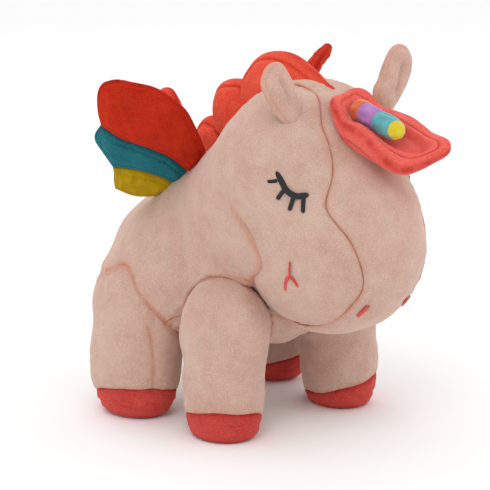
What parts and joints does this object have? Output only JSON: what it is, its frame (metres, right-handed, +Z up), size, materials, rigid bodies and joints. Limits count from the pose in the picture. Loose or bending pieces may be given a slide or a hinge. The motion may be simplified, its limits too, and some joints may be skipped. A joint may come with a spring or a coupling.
{
  "type": "plush unicorn",
  "caption": "Sewn plush winged unicorn standing on stuffed legs, with padded wings, forelock, horn, mane and tail that bend at their seams.",
  "frame": {"origin": "on the floor, at the middle of the toy's bounding box", "axes": "+Z up, the face looks along -Y, the animal's left side is +X"},
  "size_m": [0.212, 0.2499, 0.2426],
  "materials": {
    "peach_plush": "short-pile peach pink plush, matt with a soft sheen",
    "coral_plush": "short-pile coral plush, matt with a pale bloom at grazing angles",
    "orange_plush": "short-pile orange red plush",
    "teal_plush": "short-pile teal plush",
    "yellow_plush": "short-pile mustard yellow plush",
    "horn_orange": "printed stretch fabric, orange",
    "horn_lilac": "printed stretch fabric, lilac",
    "horn_aqua": "printed stretch fabric, aqua",
    "horn_yellow": "printed stretch fabric, yellow",
    "black_thread": "satin-stitch embroidery thread, black",
    "red_thread": "embroidery thread, red",
    "fibre_fill": "loose white polyester fibre fill"
  },
  "bodies": {
    "torso": {"torso_skin_right": "peach_plush", "torso_skin_left": "peach_plush", "belly_panel": "peach_plush", "torso_filling": "fibre_fill", "mane_wither_lobe": "coral_plush"},
    "head": {"cheek_right": "peach_plush", "cheek_left": "peach_plush", "face_strip": "peach_plush", "head_filling": "fibre_fill", "mane_crown_lobe": "coral_plush", "mane_neck_lobe": "coral_plush", "eye_right": "black_thread", "eye_left": "black_thread", "mouth_right": "red_thread", "mouth_left": "red_thread", "nostril_right": "red_thread", "nostril_left": "red_thread"},
    "front_leg_right": {"front_leg_skin_right": "peach_plush", "front_leg_filling_right": "fibre_fill", "front_hoof_right": "coral_plush"},
    "front_leg_left": {"front_leg_skin_left": "peach_plush", "front_leg_filling_left": "fibre_fill", "front_hoof_left": "coral_plush"},
    "rear_leg_right": {"rear_leg_skin_right": "peach_plush", "rear_leg_filling_right": "fibre_fill", "rear_hoof_right": "coral_plush"},
    "rear_leg_left": {"rear_leg_skin_left": "peach_plush", "rear_leg_filling_left": "fibre_fill", "rear_hoof_left": "coral_plush"},
    "ear_right_body": {"ear_right": "peach_plush"},
    "wing_right": {"wing_right_upper_panel": "orange_plush", "wing_right_middle_panel": "teal_plush", "wing_right_lower_panel": "yellow_plush"},
    "ear_left_body": {"ear_left": "peach_plush"},
    "wing_left": {"wing_left_upper_panel": "orange_plush", "wing_left_middle_panel": "teal_plush", "wing_left_lower_panel": "yellow_plush"},
    "forelock_body": {"forelock": "coral_plush", "horn_root_band": "horn_orange", "horn_middle_band": "horn_lilac", "horn_front_band": "horn_aqua", "horn_tip": "horn_yellow"},
    "tail_body": {"tail": "coral_plush"}
  },
  "joints": [
    {"name": "neck_nod", "type": "hinge", "parent": "torso", "child": "head", "pos_m": [0, 0, 0.125], "axis": [1, 0, 0], "range_deg": [-3, 6], "stiffness_Nm_per_rad": 8},
    {"name": "front_leg_swing_right", "type": "hinge", "parent": "torso", "child": "front_leg_right", "pos_m": [-0.048, -0.003, 0.064], "axis": [1, 0, 0], "range_deg": [-8, 8], "stiffness_Nm_per_rad": 6},
    {"name": "rear_leg_swing_right", "type": "hinge", "parent": "torso", "child": "rear_leg_right", "pos_m": [-0.051, 0.074, 0.071], "axis": [1, 0, 0], "range_deg": [-8, 8], "stiffness_Nm_per_rad": 6},
    {"name": "ear_bend_right", "type": "hinge", "parent": "head", "child": "ear_right_body", "pos_m": [-0.04, -0.049, 0.2075], "axis": [0.891, 0, 0.454], "range_deg": [-25, 25], "stiffness_Nm_per_rad": 0.05},
    {"name": "wing_flap_right", "type": "hinge", "parent": "torso", "child": "wing_right", "pos_m": [-0.025, 0.037, 0.168], "axis": [-0.2239, 0.7556, -0.6156], "range_deg": [-17, 35], "stiffness_Nm_per_rad": 0.4},
    {"name": "front_leg_swing_left", "type": "hinge", "parent": "torso", "child": "front_leg_left", "pos_m": [0.048, -0.003, 0.064], "axis": [1, 0, 0], "range_deg": [-8, 8], "stiffness_Nm_per_rad": 6},
    {"name": "rear_leg_swing_left", "type": "hinge", "parent": "torso", "child": "rear_leg_left", "pos_m": [0.051, 0.074, 0.071], "axis": [1, 0, 0], "range_deg": [-8, 8], "stiffness_Nm_per_rad": 6},
    {"name": "ear_bend_left", "type": "hinge", "parent": "head", "child": "ear_left_body", "pos_m": [0.045, -0.049, 0.2055], "axis": [0.891, 0, -0.454], "range_deg": [-25, 25], "stiffness_Nm_per_rad": 0.05},
    {"name": "wing_flap_left", "type": "hinge", "parent": "torso", "child": "wing_left", "pos_m": [0.025, 0.037, 0.168], "axis": [-0.2239, -0.7556, 0.6156], "range_deg": [-17, 35], "stiffness_Nm_per_rad": 0.4},
    {"name": "forelock_lift", "type": "hinge", "parent": "head", "child": "forelock_body", "pos_m": [0, -0.057, 0.217], "axis": [-1, 0, 0], "range_deg": [0, 30], "stiffness_Nm_per_rad": 0.8},
    {"name": "tail_bend", "type": "hinge", "parent": "torso", "child": "tail_body", "pos_m": [0, 0.105, 0.133], "axis": [1, 0, 0], "range_deg": [-15, 15], "stiffness_Nm_per_rad": 0.4}
  ]
}
